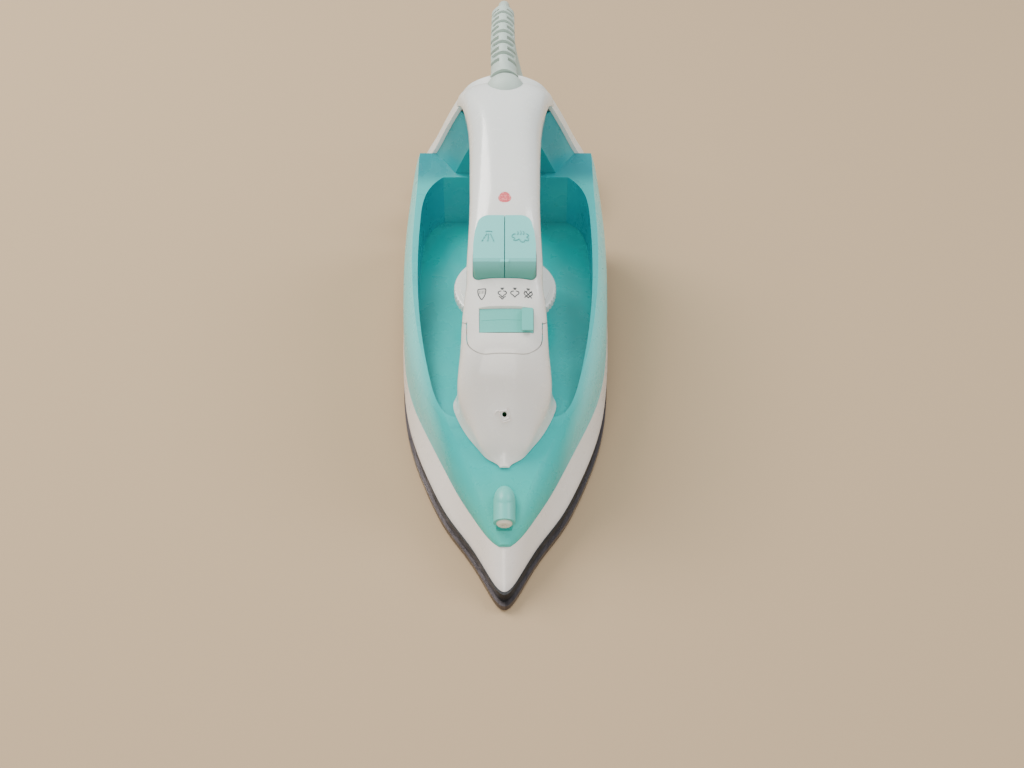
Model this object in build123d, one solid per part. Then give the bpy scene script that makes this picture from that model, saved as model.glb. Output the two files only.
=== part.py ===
from build123d import *
import math
import os

os.makedirs("parts", exist_ok=True)

# Steam iron. +X right, +Y towards the heel, +Z up. Z = 0 is the underside of the soleplate,
# the origin is at mid length on the centre line. All sizes are in millimetres.

# ---- Driving dimensions
LENGTH = 286.0
TIP_Y = -LENGTH / 2
HEEL_Y = LENGTH / 2
PLATE_Z = 4.0            # top of the soleplate's flange
PAD_Z = 13.0             # top of the cast pad that holds the heating element
COVER_Z = 14.5           # top of the steam chamber cover
SKIRT_Z = 9.5            # bottom edge of the skirt
DECK_Z = 21.0            # top of the heat shield
SEAM_Z = 24.0            # joint between skirt and tank
FLOOR_Z = 47.0           # floor of the hand recess
WALL = 2.3               # moulded wall thickness
GAP = 0.4                # clearance between moving parts
RUN = 0.06               # radial running clearance

HEEL_LEAN = 6.9          # degrees that the heel leans forward
REAR_DEPTH = 8.0         # depth of the rear cover
REAR_TOP = 136.5         # top of the rear cover

DIAL_Y = 27.0
DIAL_R = 28.0
DIAL_Z = 62.3            # underside of the dial
DIAL_TOP = 68.0

HINGE_Y = -34.0          # filler cover hinge
HINGE_Z = 90.0
LID_GAP = 0.8            # gap between the lid's edge and the deck
PANEL_HALF = 19.0        # control panel between the cover's arms
PANEL_FRONT = -50.0
HANDLE_FRONT = -32.6
PARTITION_Z = 76.0       # floor of the dry space in the front column
COLUMN_FRONT_HALF = 17.0
COLUMN_END = 7.0         # Y of the back of the column
TOWER_START = 104.0      # Y of the front of the tower
COLUMN_HALF = 19.2

PANEL_SLOPE = 27.2       # degrees
SLOT_Y = -35.3
SLOT_Z = 99.5
SLOT_X = 1.0
SLOT_WIDE = 27.6
SLOT_LONG = 12.8
SLIDER_X = 11.6
SLIDER_TRAVEL = 20.8
TRAY_TOP = -0.9          # crown of the tray below the panel's plane
TRAY_R = 110.0
STEM = 0.4               # half thickness of the slider's stem
ROD_Y = -32.5
ROD_LIFT = 3.0

TOWER_DEPTH = 24.0       # depth of the tank's tower, from the heel's plane
TOWER_TOP = 115.5

PUMP_X = 8.5
PUMP_Y = -9.5
PORT_X = 1.7             # pump ports, to each side of the pump's axis and in front of it
PORT_Y = -2.2
BUTTON_HALF = 16.0
BUTTON_FRONT = -15.0
BUTTON_REAR = 16.6

LAMP_Y = 28.5
BALL = Vector(0, 117, 131.5)
BALL_R = 11.2
CORD_D = 6.5

COIL_Y = 194.0
COIL_Z = 0.9             # underside of the coil, on the tie's thickness
COIL_IN = 21.6
COIL_OUT = 47.3
COIL_TOP = COIL_Z + 3 * CORD_D
PLUG_X = -24.0
PLUG_Y = 164.0
PLUG_R = 18.5
PLUG_HIGH = 25.0
BOOT_Z = 26.5            # centre of the plug's side strain relief
BOOT_X = 14.5
PIN_R = 2.4
PIN_LONG = 19.0
PIN_GAP = 19.0

# Axes of the slanted features
INLET = Vector(0, -58, 56)
INLET_AXIS = Vector(0, -0.84, 0.54)
NOZZLE_REAR = Vector(0, -101, 37.2)
NOZZLE_LONG = 13.0
NOZZLE_R = 5.6
TIP_R = 4.0
NOZZLE_AXIS = Vector(0, -19, -5.5).normalized()
SLEEVE_AXIS = Vector(0, math.cos(math.radians(14)), math.sin(math.radians(14)))

# Routes and hole patterns
ELEMENT_POINTS = [(16, 121, 9.7), (29, 96, 9.7), (33, 30, 9.7), (26, -40, 9.7), (11, -86, 9.7),
                  (-11, -86, 9.7), (-26, -40, 9.7), (-33, 30, 9.7), (-29, 96, 9.7), (-16, 121, 9.7)]
SHIELD_SCREWS = [(0, -66), (23.5, 88), (-23.5, 88)]
REAR_SCREWS = [(33, 40), (-33, 40), (0, 96)]
SLEEVE_POINTS = [(-0.6, 126.9, 134.0), (-1.3, 145, 138.2), (-1.5, 163.4, 141.4), (-1.4, 182, 141.6)]
CORD_POINTS = [(-1.4, 182, 141.6), (-1.2, 200.3, 136.6), (-0.6, 216.8, 125), (0.6, 229, 108), (2.4, 235.5, 87.5),
               (6.5, 236, 66.3), (13, 228.5, 47), (19.5, 213.5, 32.5), (24, 195.5, 21.8)]
SPRAY_POINTS = [(-6.8, -11.7, 75.8), (-6.8, -20, 50), (-4, -56, 37), (-1, -80, 34), (0, -100.3, 36.3)]
STEAM_POINTS = [(6.8, -11.7, 75.8), (6.8, -14, 52), (8.5, -20, 38), (8.5, -20, 24.2)]
LEAD_POINTS = [(7, 94, 118), (10, 118.5, 119.5), (12, 129.3, 92), (14, 134.6, 44), (15, 135.9, 30),
               (16, 135.3, 22.6), (16, 123.2, 22.6)]
TAIL_POINTS = [(35.4, 222.2, 20), (42.7, 200, 22.6), (35.4, 177.8, 25), (16.5, 164, BOOT_Z), (-6, 164, BOOT_Z)]

parts = {}

# ---- Outlines, as (half width, y) from the tip to the heel corner
SOLE_SIDE = [(9.6, -129.5), (20.2, -109), (30.1, -93), (39.9, -71), (48, -48), (53.9, -24), (57.5, 8),
             (58.6, 50), (58, 100), (52, 127), (40, 140)]
SKIRT_SIDE = [(8.3, -127), (18.6, -107), (28.5, -91), (38.2, -70), (46.6, -47), (52.8, -24), (57.2, 8),
              (59.4, 45), (59.2, 100), (54, 128), (42, 143)]
# Tank stations: y, half width at the seam, half width at the rim, rim height
HULL = [(-121, 3.0, 1.6, 26), (-115, 8.6, 3.5, 29), (-105, 14.6, 8, 33), (-90, 22.6, 14, 38.5),
        (-70, 31.4, 24, 44.5), (-48, 40.5, 33.6, 50.5), (-24, 49.5, 42.3, 56.5), (5, 55.5, 48.2, 62),
        (45, 58.2, 51.7, 70), (85, 58.4, 51.2, 77), (110, 56.8, 50.5, 80.8), (134, 54.2, 48.6, 83.5)]
SEAM_SIDE = [(seam, y) for y, seam, rim, top in HULL[1:-1]] + [(52, 131), (40, 140)]
COLUMN_SIDE = [(7, -75.5), (12, -70), (15.6, -62), (17, -52), (17, -32)]
RECESS_SIDE = [(20, -55), (30, -53), (35, -46), (40.5, -28), (44.5, -6), (47, 15), (48.5, 45),
               (48, 75), (45, 95), (36, 107)]
# Rear cover, as (half width, z) from the top down
BELL = [(8, 135.8), (14, 133.5), (19.5, 130), (25.8, 121), (31.3, 110), (36.2, 99), (41, 88),
        (46, 78), (49.5, 66), (51, 50), (50, SEAM_Z + 1.2)]
# Filler cover and handle stations: y, half width and z of the lower edge, of the shoulder, crown z
UPPER = [(-83.5, 2.5, 40.9, 2.4, 41.3, 42.6), (-77, 11.3, 43, 10.6, 45, 50), (-70, 17.2, 45, 16, 49, 61),
         (-62, 22.6, 47.2, 21, 54, 73.3), (-54, 26.4, 49.4, 24.2, 61, 85.8), (-47, 28, 51.2, 24, 67, 93.3),
         (-40, 25.5, 52, 22.8, 76, 97.1), (-33, 24.5, 54, 22.1, 86, 100.7), (-20, 22, 60, 20.8, 97, 107.4),
         (-7, 20.5, 80, 19.7, 104, 114.4), (12, 19.2, 90, 19, 112, 122.5), (44, 18.7, 100, 18.7, 118.5, 131),
         (70, 19.2, 104, 19.2, 121.5, 136), (92, 20.5, 106, 20.5, 124, 139), (106, 22.9, 106, 22.9, 126, 139.3),
         (115, 26.4, 106, 25.6, 122, 138.2), (123, 29, 106, 27.4, 118, 135.4)]
# Lower edge of the white shells in side view
PARTING = [(-46.3, 50.5), (-44, 62), (-40.5, 72), (-37, 79.5), (-33, 86), (-27, 92), (-21, 97), (-13, 101),
           (-7, 104), (12, 112), (22, 115), (44, 118.5), (70, 121.5), (92, 124), (106, 126), (112, 126),
           (117, 123), (121.5, 119)]


# ---- Construction helpers
def across(y):
    """Plane square to the length at y: local x is X, local y is Z."""
    return Plane(origin=(0, y, 0), x_dir=(1, 0, 0), z_dir=(0, -1, 0))


def inset(side, amount):
    """Outline points moved towards the centre line, square to the line through their neighbours."""
    moved = []
    for before, here, after in zip([side[0]] + side, side, side[1:] + [side[-1]]):
        run = Vector(after) - Vector(before)
        square = Vector(-run.Y, run.X).normalized()
        moved.append((here[0] + amount * square.X, here[1] + amount * square.Y))
    return [point for point in moved if point[0] > 3.5]


def round_face(top, side):
    """Face that is symmetric about X = 0: a curve through side, top and side mirrored, closed by a line."""
    left = [(-x, y) for x, y in side]
    curve = Spline(*reversed(side), top, *left)
    return make_face([curve, Line(curve @ 1, curve @ 0)])


def plan_face(tip_y, side, z):
    """Boat-shaped face at height z: round tip at -Y, straight edge at +Y."""
    return Pos(0, 0, z) * round_face((0, tip_y), side)


def side_face(points):
    """Face in the YZ plane from (y, z) points."""
    return Plane.YZ * make_face(Polyline(*points, close=True))


def slab(points, half):
    """Side-view polygon with a thickness of half to each side of the centre line."""
    return extrude(side_face(points), amount=half, both=True)


def block(x0, x1, y0, y1, z0, z1):
    """Box between two corners."""
    return Pos((x0 + x1) / 2, (y0 + y1) / 2, (z0 + z1) / 2) * Box(x1 - x0, y1 - y0, z1 - z0)


def rod(x, y, z0, z1, radius):
    """Upright cylinder."""
    return Pos(x, y, (z0 + z1) / 2) * Cylinder(radius, z1 - z0)


def ring(x, y, z0, z1, outer, inner):
    """Upright tube."""
    return rod(x, y, z0, z1, outer) - rod(x, y, z0, z1, inner)


def bar(start, end, radius):
    """Cylinder between two points."""
    run = Vector(end) - Vector(start)
    plane = Plane(origin=start, z_dir=run)
    return extrude(plane * Circle(radius), amount=run.length)


def half_width(side, y):
    """Half width of an outline at y."""
    for (w0, y0), (w1, y1) in zip(side, side[1:]):
        if y0 <= y <= y1:
            return w0 + (w1 - w0) * (y - y0) / (y1 - y0)
    raise ValueError(y)


def bend_path(points, share=0.45):
    """Straight runs joined by arcs as large as the shorter run at each corner allows."""
    spots = [Vector(p) for p in points]
    radii = []
    for before, here, after in zip(spots, spots[1:], spots[2:]):
        turn = (here - before).get_angle(after - here)
        shorter = min((here - before).length, (after - here).length)
        radii.append(share * shorter / math.tan(math.radians(turn) / 2))
    return FilletPolyline(*points, radius=radii), radii


def tube(points, radius):
    """Round solid along a bent path."""
    path, radii = bend_path(points)
    section = Plane(origin=path @ 0, z_dir=path % 0) * Circle(radius)
    return sweep(section, path=path)


def bell_face(amount):
    """Rear cover outline in the heel plane, moved in by amount."""
    lean = math.cos(math.radians(HEEL_LEAN))
    side = [(w, (z - 10) / lean) for w, z in BELL]
    return round_face((0, (REAR_TOP - 10) / lean - amount), inset(side, -amount))


def hull_face(station, amount):
    """Cross-section of the tank, moved in by amount."""
    y, seam, rim, top = station
    seam, rim, top, base = seam - amount, rim - amount, top - amount, SEAM_Z + amount
    rise, lean = top - base, seam - rim
    right = Spline((seam, base), (seam - 0.08 * lean, base + 0.4 * rise),
                   (seam - 0.45 * lean, base + 0.82 * rise), (rim, top))
    left = right.mirror(Plane.YZ)
    lines = [right, Line(right @ 1, left @ 1), left, Line(left @ 0, right @ 0)]
    return across(y) * make_face(lines)


def upper_face(station, amount, drop):
    """Cross-section of the filler cover and handle, moved in by amount, its foot lowered by drop."""
    y, foot, foot_z, shoulder, shoulder_z, crown = station
    foot, shoulder, crown = foot - amount, shoulder - amount, crown - amount
    rise = crown - shoulder_z
    side = [(0.66 * shoulder, shoulder_z + 0.86 * rise), (0.94 * shoulder, shoulder_z + 0.5 * rise),
            (shoulder, shoulder_z), (foot, foot_z - drop)]
    return across(y) * round_face((0, crown), side)


HEEL = Plane(origin=(0, HEEL_Y, 10), x_dir=(-1, 0, 0),
             z_dir=(0, math.cos(math.radians(HEEL_LEAN)), math.sin(math.radians(HEEL_LEAN))))
BEHIND = HEEL.offset(-REAR_DEPTH) * Pos(0, 0, 60) * Box(400, 500, 120)
PANEL = Plane(origin=(SLOT_X, SLOT_Y, SLOT_Z), x_dir=(1, 0, 0),
              z_dir=(0, -math.sin(math.radians(PANEL_SLOPE)), math.cos(math.radians(PANEL_SLOPE))))


# ---- Soleplate group
def soleplate():
    """Cast plate with a pad, steam channel, vents and a groove for the heating element."""
    plate = extrude(plan_face(TIP_Y, SOLE_SIDE, 0), amount=PLATE_Z)
    plate = chamfer(plate.edges().group_by(Axis.Z)[0], 1.0)
    pad = extrude(plan_face(TIP_Y + 30, inset(SOLE_SIDE, 13), PLATE_Z), amount=PAD_Z - PLATE_Z)
    channel = extrude(plan_face(TIP_Y + 34, inset(SOLE_SIDE, 15.5), 6.5), amount=20)
    channel -= extrude(plan_face(TIP_Y + 41, inset(SOLE_SIDE, 19.5), 6.5), amount=20)
    chamber = Pos(0, 5, 8 + 10) * Box(34, 130, 20)
    body = plate + pad - channel - fillet(chamber.edges().filter_by(Axis.Z), 12)
    for y in range(-84, 100, 14):
        x = half_width(SOLE_SIDE, y) - 18
        body -= rod(x, y, -1, 8, 1.5) + rod(-x, y, -1, 8, 1.5)
    for x, y in [(0, -105.5), (5, -100), (-5, -100)]:
        body -= rod(x, y, -1, 8, 1.5)
    for x, y in SHIELD_SCREWS:
        body -= rod(x, y, 7, 20, 1.6)
    return body - element_path_solid(3.35, 8)


def element_path_solid(radius, rise):
    """Round bar along the heating element's loop, with an open slot above it when rise is not 0."""
    bar_solid = tube(ELEMENT_POINTS, radius)
    if not rise:
        return bar_solid
    path = bend_path(ELEMENT_POINTS)[0]
    start = Plane(origin=path @ 0, z_dir=path % 0, x_dir=(0, 0, 1))
    section = start * Pos(rise / 2, 0) * Rectangle(rise, 2 * radius)
    return bar_solid + sweep(section, path=path)


def heating_element():
    """Sheathed loop with two upright terminal pins."""
    body = element_path_solid(3.25, 0)
    for x in (16, -16):
        body += rod(x, 121, 9.7, 22.5, 2.0)
        body += Pos(x, 121, 9.7) * Sphere(3.25)
    return body


def steam_chamber_cover():
    """Pressed plate that closes the chamber and the channel."""
    plate = extrude(plan_face(TIP_Y + 32, inset(SOLE_SIDE, 14), PAD_Z), amount=COVER_Z - PAD_Z)
    plate -= rod(0, ROD_Y, 0, 30, 4)
    for x in (16, -16):
        plate -= rod(x, 121, 0, 30, 2.6)
    for x, y in SHIELD_SCREWS:
        plate -= rod(x, y, 0, 30, 2.2)
    return plate


def heat_shield():
    """Heat-resistant tray between the hot plate and the cool shells."""
    flange = extrude(plan_face(TIP_Y + 3, inset(SOLE_SIDE, 1.6), PLATE_Z), amount=SKIRT_Z - PLATE_Z)
    hat = loft([plan_face(TIP_Y + 13, inset(SOLE_SIDE, 6), PLATE_Z),
                plan_face(TIP_Y + 27, inset(SOLE_SIDE, 12), DECK_Z)])
    room = loft([plan_face(TIP_Y + 19, inset(SOLE_SIDE, 8.5), PLATE_Z),
                 plan_face(TIP_Y + 30, inset(SOLE_SIDE, 14.2), DECK_Z - 2)])
    body = flange + hat - room
    body -= rod(0, ROD_Y, 0, 30, 7.4)
    body -= block(-16, 16, DIAL_Y - 12, DIAL_Y + 12, 12, 30)
    body -= block(-20, 20, 116, 126, 12, 30)
    for x, y in SHIELD_SCREWS:
        body += ring(x, y, COVER_Z, DECK_Z - 2, 4, 2)
        body -= rod(x, y, 12, 30, 2)
    return body


def shield_screws():
    """Three screws that hold the shield and the chamber cover on the soleplate."""
    group = []
    for x, y in SHIELD_SCREWS:
        screw = rod(x, y, 8, DECK_Z, 1.6) + rod(x, y, DECK_Z, DECK_Z + 2, 3.4)
        group.append(screw - Pos(x, y, DECK_Z + 2) * Box(4, 0.8, 1.6))
    return Compound(children=group)


def skirt():
    """Lower white casing, with the nose point."""
    outer = loft([plan_face(TIP_Y + 5, SKIRT_SIDE, SKIRT_Z), plan_face(TIP_Y + 21, SEAM_SIDE, SEAM_Z)])
    inner = loft([plan_face(TIP_Y + 10.5, inset(SKIRT_SIDE, 2.4), SKIRT_Z - 0.01),
                  plan_face(TIP_Y + 27, inset(SEAM_SIDE, 2.4), SEAM_Z + 0.01)])
    return outer - inner


def thermostat():
    """Snap-action thermostat with a socket for the dial's shaft."""
    body = block(-12, 12, DIAL_Y - 8, DIAL_Y + 8, COVER_Z, 21)
    body += rod(0, DIAL_Y, 21, 23.5, 5)
    body += block(-15, -12, DIAL_Y - 3, DIAL_Y + 3, 18, 19)
    body += block(12, 15, DIAL_Y - 3, DIAL_Y + 3, 18, 19)
    return body - rod(0, DIAL_Y, 19.5, 24, 3 + RUN)


def thermal_fuse():
    """Sealed fuse lying on the chamber cover."""
    fuse = bar((-10, 62, COVER_Z + 2), (10, 62, COVER_Z + 2), 2)
    return fuse + bar((-15, 62, COVER_Z + 2), (15, 62, COVER_Z + 2), 0.7)


def chamber_seal():
    """Silicone sleeve between the tank's valve and the steam chamber."""
    return ring(0, ROD_Y, COVER_Z, SEAM_Z, 6.5, 3.5) + ring(0, ROD_Y, COVER_Z, COVER_Z + 1.5, 7.2, 3.5)


# ---- Tank
def ports():
    """Plan positions of the four pump ports in the partition."""
    return [(s * PUMP_X + t * PORT_X, PUMP_Y + PORT_Y) for s in (1, -1) for t in (1, -1)]


def column(amount, top):
    """Front column of the tank, moved in by amount and cut off at top."""
    front = [(-76 + amount * 1.4, 38), (-48.3 + amount * 0.6, 80.5 - amount * 1.1), (-33, 82 - amount), (-33, 38)]
    back = [(-33.3, 38), (-33.3, 120), (4, 120), (6.5 - amount, 95), (2.5 - amount, 84), (-3 - amount, 74),
            (-6 - amount, 62), (-8 - amount, 38)]
    nose = extrude(plan_face(-78 + amount, inset(COLUMN_SIDE, amount), 30), amount=110)
    solid = slab(front, COLUMN_FRONT_HALF) & nose
    solid += slab(back, COLUMN_HALF - amount)
    return solid & block(-60, 60, -120, 60, 30, top)


def tower(amount):
    """Rear tower of the tank: it narrows from the rear cover's outline towards the hand recess."""
    back = HEEL.offset(-REAR_DEPTH) * bell_face(2.2 + amount)
    front = HEEL.offset(-TOWER_DEPTH + amount) * bell_face(12.5 + amount)
    solid = loft([back, front]) & block(-70, 70, 90, 150, SEAM_Z + amount, TOWER_TOP - amount)
    return solid - block(-14 - amount, 14 + amount, 113 - amount, 150, 101 - amount, 125)


def tank_shell():
    """Water tank with hand recess, front column, dial pedestal and rear tower, in one piece."""
    hull = loft([hull_face(s, 0) for s in HULL])
    water = loft([hull_face(s, WALL) for s in HULL[2:]])
    recess = extrude(plan_face(-57, RECESS_SIDE, FLOOR_Z), amount=60)
    below = extrude(plan_face(-60, inset(RECESS_SIDE, -WALL), FLOOR_Z - WALL), amount=60)
    body = hull - recess
    body += rod(0, DIAL_Y, FLOOR_Z - WALL, DIAL_Z - 0.8, 20)
    shell_top = slab([(-90, 0)] + [(y, z - 0.3) for y, z in PARTING[4:12]] + [(44, 0)], 60)
    body += column(0, 130) & (shell_top + block(-60, 60, -90, -33, 30, 83))
    body += tower(0)
    water = water - below + tower(WALL) + column(WALL, PARTITION_Z - WALL)
    water += rod(0, DIAL_Y, FLOOR_Z - 2 * WALL, DIAL_Z - 0.8 - WALL, 20 - WALL)
    water -= rod(0, DIAL_Y, 0, 80, 3 + RUN + WALL)
    dry = column(WALL, 140) & block(-60, 60, -48, 60, PARTITION_Z, 140)
    body = body - water - dry - BEHIND
    for x, z in REAR_SCREWS[:2]:
        body -= HEEL * Pos(-x, z, -REAR_DEPTH) * Cylinder(2.0, 4)
    body -= rod(0, DIAL_Y, 0, 80, 3 + RUN)
    body -= rod(0, ROD_Y, PARTITION_Z - 5, PARTITION_Z + 5, 1.5 + RUN)
    body -= rod(0, ROD_Y, 20, 30, 4)
    for x, y in ports():
        body -= rod(x, y, PARTITION_Z - 5, PARTITION_Z + 5, 1.5)
    body -= block(-14.6, 17.6, ROD_Y - 1.7, ROD_Y + 1.7, PARTITION_Z + 1, 93)
    body -= block(-30, -16, -33.5, -30.5, 82.5, 130) + block(16, 30, -33.5, -30.5, 82.5, 130)
    body -= rod(-PUMP_X, PUMP_Y, PARTITION_Z, 92, 6.1) + rod(PUMP_X, PUMP_Y, PARTITION_Z, 92, 6.1)
    body -= button_plan(GAP + 0.2, 98.8)
    body -= tube(SPRAY_POINTS, 1.5)
    body -= rod(PUMP_X, -20, 20, 30, 1.5)
    body -= bar(INLET, INLET + INLET_AXIS * 14, 8)
    body -= bar(NOZZLE_REAR - NOZZLE_AXIS, NOZZLE_REAR + NOZZLE_AXIS * (NOZZLE_LONG + 2.5), NOZZLE_R)
    return body


def tank_parts():
    """The mouldings that the tank is welded from: base, two side walls, front column and rear tower."""
    shell = tank_shell()
    base = block(-70, 70, -150, 150, 0, FLOOR_Z) + block(-22, 22, COLUMN_END, 48, FLOOR_Z, 62)
    cuts = {"tank": base, "tank_column": block(-23, 23, -90, COLUMN_END, FLOOR_Z, 130),
            "tank_left_wall": block(-70, -23, -90, TOWER_START, FLOOR_Z, 130),
            "tank_right_wall": block(23, 70, -90, TOWER_START, FLOOR_Z, 130),
            "tank_tower": block(-70, 70, TOWER_START, 150, FLOOR_Z, 130)}
    return {name: shell & cut for name, cut in cuts.items()}


def filler_gasket():
    """Soft lip around the filler inlet."""
    start = INLET + INLET_AXIS * 1.5
    lip = bar(start, start + INLET_AXIS * 8, 8) - bar(start, start + INLET_AXIS * 9, 5.5)
    return lip


def nozzle_housing():
    """Short inclined barrel on the deck."""
    end = NOZZLE_REAR + NOZZLE_AXIS * NOZZLE_LONG
    body = bar(NOZZLE_REAR, end, NOZZLE_R)
    body -= bar(end - NOZZLE_AXIS * 4, end + NOZZLE_AXIS, TIP_R)
    return body - bar(NOZZLE_REAR - NOZZLE_AXIS, end, 1.5)


def nozzle_tip():
    """Press-in spray tip with its orifice."""
    start = NOZZLE_REAR + NOZZLE_AXIS * (NOZZLE_LONG - 4)
    tip = bar(start, start + NOZZLE_AXIS * 5.4, TIP_R)
    tip = chamfer(tip.edges().sort_by(Axis.Y)[0], 0.8)
    tip -= bar(start - NOZZLE_AXIS, start + NOZZLE_AXIS * 7, 0.5)
    return tip - bar(start + NOZZLE_AXIS * 4, start + NOZZLE_AXIS * 7, 1.4)


# ---- Upper white shells
def upper_body(amount, drop, skip):
    """Solid envelope of the filler cover and handle."""
    return loft([upper_face(s, amount, drop) for s in UPPER[skip:]])


def panel_plan(grow):
    """Plan of the control panel: straight sides and a rounded front end."""
    back = 0
    front = PANEL_FRONT - grow
    plan = Pos(0, (front + back) / 2) * Rectangle(2 * (PANEL_HALF + grow), back - front)
    plan = fillet(plan.vertices().group_by(Axis.Y)[0], 11 + grow)
    return extrude(Pos(0, 0, 40) * plan, amount=90)


OUTER = upper_body(0, 2, 0)
INNER = upper_body(WALL, 4, 1)
LOWER_TRIM = slab(PARTING + [(140, 119), (140, 0), (-46.3, 0)], 80)
SHELL = OUTER - INNER - LOWER_TRIM
HINGE_BAR = bar((-60, HINGE_Y, HINGE_Z), (60, HINGE_Y, HINGE_Z), 4.3)
HINGE_ROOM = bar((-60, HINGE_Y, HINGE_Z), (60, HINGE_Y, HINGE_Z), 4.3 + GAP)
HANDLE_ZONE = block(-60, 60, HANDLE_FRONT, 140, 0, 200) + panel_plan(0)


def filler_cover():
    """Flip-up lid on the nose: cowl, two arms beside the panel and hinge pins."""
    lid = SHELL & block(-60, 60, -100, HINGE_Y, 0, 200)
    arms_end = SHELL & block(-60, 60, HINGE_Y - 0.01, HINGE_Y + 6, 80, 200) & HINGE_BAR
    lid = lid + arms_end - panel_plan(GAP) - column(-GAP, 130)
    lid -= loft([hull_face(s, -LID_GAP) for s in HULL])
    for s in (1, -1):
        lid += bar((s * 17.6, HINGE_Y, HINGE_Z), (s * 21.0, HINGE_Y, HINGE_Z), 1.5)
    lid -= bar((0, -66, 60), (0, -72, 75), 1.2)
    return lid


def handle_top():
    """Upper handle shell with the control panel, slot, button opening and lamp hole."""
    body = SHELL & HANDLE_ZONE
    lip = INNER & block(-60, 60, -60, -30.7, 83, 130) & (panel_plan(0) - panel_plan(-2.2))
    body = body + lip - BEHIND
    for s in (1, -1):
        body -= HINGE_ROOM & block(min(s * 19.01, s * 40), max(s * 19.01, s * 40), -40, -20, 70, 110)
    body -= bar((-19.5, HINGE_Y, HINGE_Z), (19.5, HINGE_Y, HINGE_Z), 1.5 + RUN)
    body -= PANEL * Box(SLOT_WIDE, SLOT_LONG, 12) + slot_bevel()
    body -= button_plan(GAP, 95)
    body -= lamp_prism(4.3, 110)
    body -= Pos(*BALL) * Sphere(BALL_R + 0.1)
    body -= SLEEVE_ROOM
    return body


def slot_bevel():
    """Sloping edges around the panel's slot."""
    low = PANEL.offset(-1.6) * Rectangle(SLOT_WIDE, SLOT_LONG)
    high = PANEL.offset(1.2) * Pos(-0.8, 0.4) * Rectangle(SLOT_WIDE + 4, SLOT_LONG + 3)
    return loft([low, high])


def button_plan(grow, z):
    """Plan of the two buttons together, from z upwards."""
    side = [(-BUTTON_HALF - grow, BUTTON_FRONT - grow), (BUTTON_HALF + grow, BUTTON_FRONT - grow),
            (BUTTON_HALF + grow, -2), (15.2 + grow, 6), (12.8 + grow, BUTTON_REAR + grow),
            (-12.8 - grow, BUTTON_REAR + grow), (-15.2 - grow, 6), (-BUTTON_HALF - grow, -2)]
    plan = make_face(Polyline(*side, close=True))
    plan = fillet(plan.vertices().group_by(Axis.Y)[-1], 6)
    plan = fillet(plan.vertices().group_by(Axis.Y)[0], 3.5 + grow)
    return extrude(Pos(0, 0, z) * plan, amount=60)


def lamp_prism(radius, z):
    """Rounded triangle for the lamp, point towards the heel."""
    plan = Pos(0, LAMP_Y) * Rot(0, 0, 90) * RegularPolygon(radius * 1.45, 3)
    plan = fillet(plan.vertices(), 2.7)
    return extrude(Pos(0, 0, z) * plan, amount=30)


SLEEVE_ROOM = bar(BALL, BALL + SLEEVE_AXIS * 60, 7.4)

LOWER = [(3.5, 19.3, 107.3, 88), (7, 19.2, 108.5, 91.5), (20, 18.9, 113.5, 98.5), (44, 18.6, 117.5, 105),
         (70, 19.0, 120.5, 109), (90, 20.2, 123, 109), (106.6, 22.4, 125, 102)]


def lower_face(station, amount):
    """Cross-section of the lower handle shell."""
    y, half, top, bottom = station
    half, bottom = half - amount, bottom + amount
    drop = top - bottom
    side = [(0.74 * half, top - 0.84 * drop), (0.97 * half, top - 0.4 * drop), (half, top + amount * 2)]
    return across(y) * round_face((0, bottom), side)


def handle_bottom():
    """Lower handle shell that the fingers close around."""
    outer = loft([lower_face(s, 0) for s in LOWER])
    inner = loft([lower_face(s, WALL) for s in LOWER])
    shell = outer - inner - column(-0.05, 130)
    return shell & slab([(4.3, 60)] + [(y, z - 0.2) for y, z in PARTING[8:15]] + [(106.6, 60)], 60)


def rear_cover():
    """Bell-shaped cover that the iron stands on when it rests on its heel."""
    body = extrude(HEEL * bell_face(0), amount=-REAR_DEPTH)
    body = fillet(body.faces().sort_by(Axis.Y)[-1].edges(), 2.5)
    body -= extrude(HEEL.offset(-WALL) * bell_face(WALL), amount=-REAR_DEPTH)
    for x, z in REAR_SCREWS:
        body += HEEL * Pos(-x, z, -REAR_DEPTH / 2) * Cylinder(4.4, REAR_DEPTH)
        body -= HEEL * Pos(-x, z, -REAR_DEPTH / 2) * Cylinder(2.0, REAR_DEPTH + 1)
        body -= HEEL * Pos(-x, z, -1.5) * Cylinder(3.4, 3.01)
    body -= Pos(*BALL) * Sphere(BALL_R + 0.1)
    return body - SLEEVE_ROOM


def rear_cover_screws():
    """Three cross-head screws in the rear cover."""
    group = []
    for x, z in REAR_SCREWS:
        screw = Pos(-x, z, -1.5 - 4) * Cylinder(1.9, 8) + Pos(-x, z, -2.0) * Cylinder(3.3, 2)
        screw -= Pos(-x, z, -1.0) * Box(4, 0.8, 1.2) + Pos(-x, z, -1.0) * Box(0.8, 4, 1.2)
        group.append(HEEL * screw)
    return Compound(children=group)


def heel_feet():
    """Two rubber strips that the iron stands on when it rests on its heel."""
    group = []
    for x in (35, -35):
        strip = Box(20, 5, 1.2)
        strip = fillet(strip.edges().filter_by(Axis.Z), 2.4)
        group.append(HEEL * Pos(x, 21, 0.6) * strip)
    return Compound(children=group)


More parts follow.
